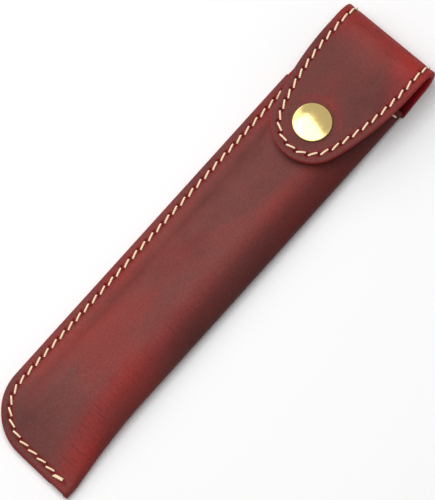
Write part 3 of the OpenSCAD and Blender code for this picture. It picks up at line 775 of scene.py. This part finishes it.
def flap_grid():
    r_tip, r_side = FLAP_TIP_R - EDGE_ROUND, FLAP_SIDE_R - EDGE_ROUND
    side_l, tip_l = r_side * FLAP_TURN, r_tip * (math.pi / 2 - FLAP_TURN)
    pts, outs, reach = [], [], []
    for s in np.linspace(0, STRAIGHT_L + side_l + tip_l, steps(150)):
        if s < STRAIGHT_L:
            o = np.array([-1.0, 0.0])
            p = np.array([-(FLAP_W / 2 - EDGE_ROUND), BEND_Y - s])
            inwards = FLAP_W / 2 - EDGE_ROUND
        elif s < STRAIGHT_L + side_l:
            a = (s - STRAIGHT_L) / r_side
            o = np.array([-math.cos(a), -math.sin(a)])
            p = np.array([FLAP_SIDE_R - FLAP_W / 2, FLAP_CURVE_Y]) + r_side * o
            inwards = -p[0] / math.cos(a)
        else:
            a = FLAP_TURN + (s - STRAIGHT_L - side_l) / r_tip
            o = np.array([-math.cos(a), -math.sin(a)])
            p = np.array([0, TIP_MID_Y]) + r_tip * o
            inwards = r_tip
        pts.append(p)
        outs.append(o)
        reach.append(inwards)
    pts, outs, reach = np.array(pts), np.array(outs), np.array(reach)
    d = np.concatenate([np.linspace(0, FINE_EDGE_W, steps(13)) / FLAP_REACH,
                        np.linspace(FINE_EDGE_W / FLAP_REACH, 1, steps(14))[1:]])
    d = d[None, :, None]
    left = pts[:, None, :] - d * reach[:, None, None] * outs[:, None, :]
    right = left * np.array([-1, 1])
    faces = grid_faces(len(pts), d.shape[1])
    verts = np.concatenate([left.reshape(-1, 2), right.reshape(-1, 2)])
    count = len(verts) // 2
    faces = [f[::-1] for f in faces] + [[i + count for i in f] for f in faces]
    middle_z = np.full(len(verts), FLAP_TOP - LEATHER_T / 2)
    verts = np.column_stack([verts[:, 0] + FLAP_MID, verts[:, 1], middle_z])
    verts[np.abs(verts[:, 0] - FLAP_MID) < 1e-6, 0] = FLAP_MID
    if normals_of(*weld(verts, faces))[:, 2].mean() < 0:
        faces = [f[::-1] for f in faces]
    return verts, faces


flap_count = round((2 * HALF_ROW_L - 2 * ROW_START) / PITCH)
flap_s = ROW_START + (2 * HALF_ROW_L - 2 * ROW_START) * np.arange(flap_count + 1) / flap_count
flap_pts = np.array([flap_point(s) for s in flap_s])
flap_outs = np.array([flap_out(s) for s in flap_s])
flap_holes = np.column_stack([flap_pts, np.full(len(flap_pts), FLAP_TOP)])


def flap_dents(p):
    first, last = ([[hole[0], BEND_Y + 1, FLAP_TOP]] for hole in (flap_holes[0], flap_holes[-1]))
    return pressed(p, np.concatenate([first, flap_holes, last]), flap_holes, FLAP_PRESS)


flap = cut_leather("flap_leather", *flap_grid(), lambda v: v[:, 1] > BEND_Y - WELD, flap_dents, flap_holes)
p = points_of(flap)
u, y, z = p.T
bent, painted_shade_and_dark = flap_marks(y, z)
above_cap = (z > FLAP_TOP - LEATHER_T / 2) * (y > SNAP_Y + 3)
bent += 0.20 * spread(np.hypot(u - FLAP_MID, y - SNAP_Y), CAP_ARC_R, 1.0) * above_cap
dress(flap, bent, painted_shade_and_dark, along_row(p, flap_holes, STITCHED_R))
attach(flap, "flap")
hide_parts("flap_leather")

# The sleeve is sewn by hand with waxed cream thread of three plies, over and under through slanted
# holes. One row closes the long edge, the corner and the foot, a short one follows the mouth, and
# one runs round the flap, back over the bend and down both sides of the neck.
PLIES, PLY_SIDES, PLY_STEPS = 3, 7, 20
PLY_R, PLY_LAY, PLY_TURNS = 0.00018, 0.00017, 1.6
THREAD_DARK, THREAD_LIGHT = srgb(245, 206, 152), srgb(255, 250, 226)
# A stitch leans this far to each side of its row, and stands this far up in its middle, more or less
# by chance. Those of the mouth stand up further.
SLANT, SWELL, CHANCE, MOUTH_SWELL = 0.42, 0.26, 0.03, 0.12
# Thread on the outer face lies this far into it, and ends this far short of the hole's middle
SUNK, SHORT, BEND_SHORT, MOUTH_SHORT = 0.12, 0.42, 0.38, 0.2
# Thread on the inner face stands this far out of it, nearly straight, and ends this far short
UNDER_PROUD, MOUTH_UNDER_PROUD, UNDER_SHORT, UNDER_SWELL = 0.3, 0.25, 0.15, 0.02
# The sleeve rests on its back, so the thread there is drawn this far into the leather
BACK_SUNK = 0.36
UP, DOWN = np.array([0, 0, 1.0]), np.array([0, 0, -1.0])
rng = np.random.default_rng(7)


def stitch_tree():
    """Lays one stitch of three plies at each point, turned along it and arched outwards."""
    tree = bpy.data.node_groups.new("stitches", "GeometryNodeTree")
    sockets = {}
    tree.interface.new_socket("Geometry", in_out="INPUT", socket_type="NodeSocketGeometry")
    for name, kind, value in (("Ply radius", FLOAT, PLY_R), ("Lay", FLOAT, PLY_LAY),
                              ("Turns", FLOAT, PLY_TURNS), ("Thread", "NodeSocketMaterial", None)):
        s = tree.interface.new_socket(name, in_out="INPUT", socket_type=kind)
        if value is not None:
            s.default_value = value
        sockets[name] = s.identifier
    tree.interface.new_socket("Geometry", in_out="OUTPUT", socket_type="NodeSocketGeometry")
    t = Tree(tree)
    given, made = t.node("NodeGroupInput").outputs, t.node("NodeGroupOutput").inputs
    all_plies = t.node("GeometryNodeJoinGeometry")
    for ply in range(PLIES):
        line = t.node("GeometryNodeMeshLine")
        t.put(line.inputs["Count"], PLY_STEPS + 1)
        t.put(line.inputs["Start Location"], (-0.5, 0, 0))
        t.put(line.inputs["Offset"], (1 / PLY_STEPS, 0, 0))
        apart = t.node("ShaderNodeSeparateXYZ")
        t.put(apart.inputs[0], t.node("GeometryNodeInputPosition").outputs[0])
        x = apart.outputs[0]
        turned = t.maths("MULTIPLY", t.maths("MULTIPLY", x, given["Turns"]), 2 * math.pi)
        turned = t.maths("ADD", turned, ply * 2 * math.pi / PLIES)
        full = t.maths("POWER", t.maths("ABSOLUTE", t.maths("MULTIPLY", x, 2.0)), 6.0)
        full = t.maths("MULTIPLY", t.maths("SUBTRACT", 1.0, full), 0.45)
        lay = t.maths("MULTIPLY", given["Lay"], t.maths("ADD", 0.55, full))
        place = t.node("ShaderNodeCombineXYZ")
        t.put(place.inputs[0], x)
        t.put(place.inputs[1], t.maths("MULTIPLY", lay, t.maths("COSINE", turned)))
        t.put(place.inputs[2], t.maths("MULTIPLY", lay, t.maths("SINE", turned)))
        laid = t.node("GeometryNodeSetPosition")
        t.put(laid.inputs["Geometry"], line.outputs[0])
        t.put(laid.inputs["Position"], place.outputs[0])
        store = t.node("GeometryNodeStoreNamedAttribute", data_type="FLOAT", domain="POINT")
        t.put(store.inputs["Name"], "along_x")
        t.put(store.inputs["Geometry"], laid.outputs[0])
        t.put(store.inputs["Value"], x)
        curve = t.node("GeometryNodeMeshToCurve")
        t.put(curve.inputs[0], store.outputs[0])
        circle = t.node("GeometryNodeCurvePrimitiveCircle")
        t.put(circle.inputs["Resolution"], PLY_SIDES)
        t.put(circle.inputs["Radius"], given["Ply radius"])
        tube = t.node("GeometryNodeCurveToMesh")
        t.put(tube.inputs["Fill Caps"], True)
        t.put(tube.inputs["Curve"], curve.outputs[0])
        t.put(tube.inputs["Profile Curve"], circle.outputs[0])
        t.put(all_plies.inputs[0], tube.outputs[0])

    def read(name, kind):
        n = t.node("GeometryNodeInputNamedAttribute", data_type=kind)
        t.put(n.inputs["Name"], name)
        return n.outputs["Attribute"]

    along = t.node("FunctionNodeAlignRotationToVector", axis="X")
    t.put(along.inputs["Vector"], read("along", "FLOAT_VECTOR"))
    outwards = t.node("FunctionNodeAlignRotationToVector", axis="Z", pivot_axis="X")
    t.put(outwards.inputs["Rotation"], along.outputs[0])
    t.put(outwards.inputs["Vector"], read("out", "FLOAT_VECTOR"))
    scale = t.node("ShaderNodeCombineXYZ")
    t.put(scale.inputs[0], read("span", "FLOAT"))
    t.put(scale.inputs[1], 1.0)
    t.put(scale.inputs[2], 1.0)
    spots = t.node("GeometryNodeInstanceOnPoints")
    t.put(spots.inputs["Points"], given["Geometry"])
    t.put(spots.inputs["Instance"], all_plies.outputs[0])
    t.put(spots.inputs["Rotation"], outwards.outputs[0])
    t.put(spots.inputs["Scale"], scale.outputs[0])
    real = t.node("GeometryNodeRealizeInstances")
    t.put(real.inputs[0], spots.outputs[0])
    from_middle = t.maths("MULTIPLY", read("along_x", "FLOAT"), 2.0)
    arch = t.maths("SUBTRACT", 1.0, t.maths("POWER", from_middle, 2.0))
    push = t.node("ShaderNodeVectorMath", operation="SCALE")
    t.put(push.inputs[0], read("out", "FLOAT_VECTOR"))
    t.put(push.inputs["Scale"], t.maths("MULTIPLY", arch, read("rise", "FLOAT")))
    arched = t.node("GeometryNodeSetPosition")
    t.put(arched.inputs["Geometry"], real.outputs[0])
    t.put(arched.inputs["Offset"], push.outputs[0])
    waxed = t.node("GeometryNodeSetMaterial")
    t.put(waxed.inputs["Geometry"], arched.outputs[0])
    t.put(waxed.inputs["Material"], given["Thread"])
    smooth = t.node("GeometryNodeSetShadeSmooth")
    t.put(smooth.inputs[0], waxed.outputs[0])
    t.put(made[0], smooth.outputs[0])
    return tree, sockets


def waxed_thread():
    m = bpy.data.materials.new("waxed_thread")
    m.use_nodes = True
    t = Tree(m.node_tree)
    look = t.nodes["Principled BSDF"].inputs
    fibres = t.noise(t.node("ShaderNodeTexCoord").outputs["Object"], 2500.0, 3.0, 0.6)
    t.put(look["Base Color"], t.mix(fibres, THREAD_DARK, THREAD_LIGHT))
    t.put(look["Roughness"], 0.5)
    t.put(look["Normal"], t.bump(t.maths("MULTIPLY", fibres, 0.00005), 0.6))
    return m


stitch_group, stitch_sockets = stitch_tree()
thread_mat = waxed_thread()


def stitches(name, ends, *nodes):
    """One mesh of stitches in place of these nodes. ends holds (start, end, outward, rise), in
    millimetres."""
    marks = {"along": [], "out": [], "span": [], "rise": []}
    middles = []
    for a, b, n, rise in ends:
        span = np.linalg.norm(b - a)
        d = (b - a) / span
        n = n - (n @ d) * d
        middles.append((a + b) / 2)
        for key, value in zip(marks, (d, n / np.linalg.norm(n), span * MM, rise * MM)):
            marks[key].append(value)
    spots = new_mesh(name + "_spots", middles, [], marks)
    mod = spots.modifiers.new("stitches", "NODES")
    mod.node_group = stitch_group
    mod[stitch_sockets["Thread"]] = thread_mat
    bpy.context.view_layer.update()
    sewn = spots.evaluated_get(bpy.context.evaluated_depsgraph_get())
    me = bpy.data.meshes.new_from_object(sewn)
    ob = bpy.data.objects.new(name, me)
    bpy.context.scene.collection.objects.link(ob)
    bpy.data.objects.remove(spots)
    for key in ("along_x", *marks):
        if key in me.attributes:
            me.attributes.remove(me.attributes[key])
    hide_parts(*nodes)
    return ob


def flat_ends(pts, outs, z, z_under):
    """The stitches of a row on a flat face, at height z, and the thread under it."""
    ends = []
    for i in range(len(pts) - 1):
        p, q = np.append(pts[i], z), np.append(pts[i + 1], z)
        d = (q - p) / np.linalg.norm(q - p)
        a = p + np.append(outs[i], 0) * SLANT + d * SHORT
        b = q - np.append(outs[i + 1], 0) * SLANT - d * SHORT
        ends.append((a, b, UP, SWELL + rng.uniform(-CHANCE, CHANCE)))
        a = np.append(pts[i], z_under) + d * UNDER_SHORT
        b = np.append(pts[i + 1], z_under) - d * UNDER_SHORT
        ends.append((a, b, DOWN, UNDER_SWELL))
    return ends


def last_stitch_again(aside, above):
    """The seam is finished with its last stitch sewn twice, the second laid a little aside."""
    p, q = (np.append(seam_pts[i], 2 * LEATHER_T + above) for i in (-2, -1))
    d = (q - p) / np.linalg.norm(q - p)
    o = np.append(seam_outs[-1], 0)
    return p + o * (SLANT + aside) + d * 0.15, q - o * (SLANT - aside) - d * 0.3, UP, SWELL + 0.05


def mouth_ends():
    """The stitches along the mouth, and the thread under each, which lies in its direction."""
    ends = []
    for first, last in zip(mouth_ds[:-1], mouth_ds[1:]):
        (pa, na), (pb, nb) = (on_mouth(d, LEATHER_T / 2 - SUNK) for d in (first, last))
        along = (pb - pa) / np.linalg.norm(pb - pa)
        ends.append((pa + along * MOUTH_SHORT, pb - along * MOUTH_SHORT, na + nb, SWELL + MOUTH_SWELL))
        (pa, na), (pb, nb) = (on_mouth(d, -LEATHER_T / 2 - MOUTH_UNDER_PROUD) for d in (first, last))
        ends.append((pa + along * UNDER_SHORT, pb - along * UNDER_SHORT, -na - nb, UNDER_SWELL))
    return ends


def bend_out(back):
    if back < 0:
        return UP
    if back > BEND_L:
        return DOWN
    a = math.pi - back / BEND_R
    return np.array([0, math.sin(a), -math.cos(a)])


def bend_ends(side, backs, on_neck=False):
    """Stitches of one side's row. Those on the neck lie deeper, straight and unslanted, because the
    sleeve rests on them."""
    ends = []
    off = LEATHER_T / 2 - (BACK_SUNK if on_neck else SUNK)
    slant = np.array([0 if on_neck else -0.5 * SLANT, 0, 0])
    swell = UNDER_SWELL if on_neck else SWELL
    for a, b in zip(backs[:-1], backs[1:]):
        pa, pb = on_side_row(side, a, off), on_side_row(side, b, off)
        d = (pb - pa) / np.linalg.norm(pb - pa)
        n = bend_out((a + b) / 2)
        chord = (on_side_row(side, (a + b) / 2, off) - (pa + pb) / 2) @ n
        ends.append((pa - slant + d * BEND_SHORT, pb + slant - d * BEND_SHORT, n, swell + max(0, chord)))
        qa, qb = (on_side_row(side, back, -LEATHER_T / 2 - UNDER_PROUD) for back in (a, b))
        ends.append((qa + d * UNDER_SHORT, qb - d * UNDER_SHORT, -n, 0.0))
    return ends


def both_sides(backs):
    return bend_ends(-1, backs) + bend_ends(1, backs)


seam_ends = flat_ends(seam_pts, seam_outs, 2 * LEATHER_T - SUNK, BACK_SUNK)
seam_ends.append(last_stitch_again(0.5, 0.02))
seam_thread = stitches("seam_stitches", seam_ends, "seam_thread")
mouth_thread = stitches("mouth_stitches", mouth_ends(), "mouth_thread")
neck_ends = []
for side in (-1, 1):
    neck_ends += bend_ends(side, [bend_backs[-1], *neck_backs(side)], on_neck=True)
neck_thread = stitches("neck_stitches", neck_ends, "neck_thread")
low_thread = stitches("bend_low_stitches", both_sides(bend_backs[3:5]), "fold_lower_thread")
mid_thread = stitches("bend_mid_stitches", both_sides(bend_backs[1:4]),
                      "fold_lower_thread", "fold_upper_thread")
high_thread = stitches("bend_high_stitches", both_sides(bend_backs[0:2]), "fold_upper_thread")
flap_ends = flat_ends(flap_pts, flap_outs, FLAP_TOP - SUNK, FLAP_UNDER - UNDER_PROUD)
flap_thread = stitches("flap_stitches", flap_ends + both_sides([-ROW_START, bend_backs[0]]), "flap_thread")
for ob in (seam_thread, mouth_thread, neck_thread):
    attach(ob, "sleeve")
bend_between(low_thread)
bend_between(mid_thread)
bend_between(high_thread)
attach(flap_thread, "flap")

# The snap is of polished brass, pressed together cold: a domed cap whose barrel holds the socket
# under the flap, a wire ring that springs in the socket, and a stud that an eyelet holds to the
# front. All five are the CAD's own pieces and only take their finish here.
BRASS = srgb(190, 168, 110)


def polished_brass():
    m = bpy.data.materials.new("polished_brass")
    m.use_nodes = True
    t = Tree(m.node_tree)
    look = t.nodes["Principled BSDF"].inputs
    wear = t.noise(t.node("ShaderNodeTexCoord").outputs["Object"], 600.0, 3.0, 0.6)
    t.put(look["Base Color"], BRASS)
    t.put(look["Metallic"], 1.0)
    t.put(look["Roughness"], t.ramp(wear, 0.3, 0.7, 0.13, 0.2))
    return m


brass_mat = polished_brass()
for name in ("snap_cap", "snap_socket", "socket_spring", "snap_stud", "stud_eyelet"):
    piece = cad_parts[name]
    piece.data.materials.clear()
    piece.data.materials.append(brass_mat)

# The sleeve lies on a pale table, under a soft lamp overhead whose edge shows in the brass cap and a
# broader one at the upper left. The camera looks down from 17 degrees off the vertical.

# Directions on the table: right and up are those of the picture, and all lengths are metres
TURN, TILT = math.radians(49.2), math.radians(17.0)
FLOOR_HALF, FLOOR_GAP = 3.0, 0.0002
FLOOR_PALE, FLOOR_SEEN = 0.85, 0.96
OVER_W, OVER_L, OVER_WATTS = 0.47, 0.70, 4.5
OVER_H, OVER_EDGE, OVER_SHIFT = 0.8, 0.216, 0.10
SIDE_W, SIDE_WATTS = 1.6, 12.7
ROOM_LIGHT = 0.20
CAMERA_FAR, CAMERA_CLIP = 5.0, 40
AIM_RIGHT, AIM_UP = 0.00270, 0.00099
PICTURE_H_PX, PX_PER_MM = 500, 3.24
SENSOR = 36.0
right = np.array([math.sin(TURN), math.cos(TURN), 0.0])
up = np.array([-math.cos(TURN), math.sin(TURN), 0.0])
top = np.array([0, 0, 1.0])


def pale_floor():
    m = bpy.data.materials.new("pale_floor")
    m.use_nodes = True
    t = Tree(m.node_tree)
    look = t.nodes["Principled BSDF"].inputs
    seen = t.node("ShaderNodeLightPath").outputs["Is Camera Ray"]
    t.put(look["Base Color"], t.ramp(seen, 0.0, 1.0, FLOOR_PALE, FLOOR_SEEN))
    t.put(look["Roughness"], 1.0)
    t.put(look["Specular IOR Level"], 0.0)
    return m


floor_me = bpy.data.meshes.new("floor")
corners = [(x * FLOOR_HALF, y * FLOOR_HALF, 0) for x, y in ((-1, -1), (1, -1), (1, 1), (-1, 1))]
floor_me.from_pydata(corners, [], [(0, 1, 2, 3)])
floor_me.materials.append(pale_floor())
floor = bpy.data.objects.new("floor", floor_me)
floor.location = (0, 0, -FLOOR_GAP)
bpy.context.scene.collection.objects.link(floor)


def placed(x, y, z, where):
    """A place and the three directions of an object's own axes there."""
    return Matrix.Translation(Vector(where)) @ Matrix((x, y, z)).transposed().to_4x4()


def lamp(name, where, aim, along, size_x, size_y, watts):
    """A soft rectangular lamp that looks at aim, with its first side along a direction."""
    data = bpy.data.lights.new(name, "AREA")
    data.shape = "RECTANGLE"
    data.size, data.size_y = size_x, size_y
    data.energy = watts
    ob = bpy.data.objects.new(name, data)
    bpy.context.scene.collection.objects.link(ob)
    z = (Vector(where) - Vector(aim)).normalized()
    x = (Vector(along) - Vector(along).dot(z) * z).normalized()
    ob.matrix_world = placed(x, z.cross(x), z, where)
    ob.visible_camera = False


# The overhead lamp's edge crosses the cap on this slant
edge_dir = right * 0.84 + up * 0.54
over_at = top * OVER_H + edge_dir * (OVER_EDGE - OVER_W / 2) + (up * 0.84 - right * 0.54) * OVER_SHIFT
lamp("overhead", over_at, over_at - top, edge_dir, OVER_W, OVER_L, OVER_WATTS)
lamp("side", top * 1.25 + right * -1.05 + up * 0.5, (0, 0, 0), right, SIDE_W, SIDE_W, SIDE_WATTS)

# The room is white where it is seen, reflected or seen through, and lights the sleeve only softly
world = bpy.data.worlds.new("world")
bpy.context.scene.world = world
world.use_nodes = True
t = Tree(world.node_tree)
path = t.node("ShaderNodeLightPath").outputs
seen = t.maths("MAXIMUM", path["Is Camera Ray"], path["Is Glossy Ray"])
seen = t.maths("MAXIMUM", seen, path["Is Transmission Ray"])
room = t.nodes["Background"].inputs
t.put(room["Strength"], t.ramp(seen, 0.0, 1.0, ROOM_LIGHT, 1.0))
t.put(room["Color"], (1, 1, 1, 1))

camera_data = bpy.data.cameras.new("camera")
camera_data.sensor_fit = "VERTICAL"
camera_data.sensor_height = SENSOR
camera_data.lens = SENSOR * CAMERA_FAR / (PICTURE_H_PX / PX_PER_MM * MM)
camera_data.clip_end = CAMERA_CLIP
camera = bpy.data.objects.new("camera", camera_data)
bpy.context.scene.collection.objects.link(camera)
look_from = top * math.cos(TILT) - up * math.sin(TILT)
camera_up = up * math.cos(TILT) + top * math.sin(TILT)
camera_at = right * AIM_RIGHT + up * AIM_UP + look_from * CAMERA_FAR
camera.matrix_world = placed(Vector(right), Vector(camera_up), Vector(look_from), camera_at)
bpy.context.scene.camera = camera
bpy.context.scene.view_settings.view_transform = "Standard"
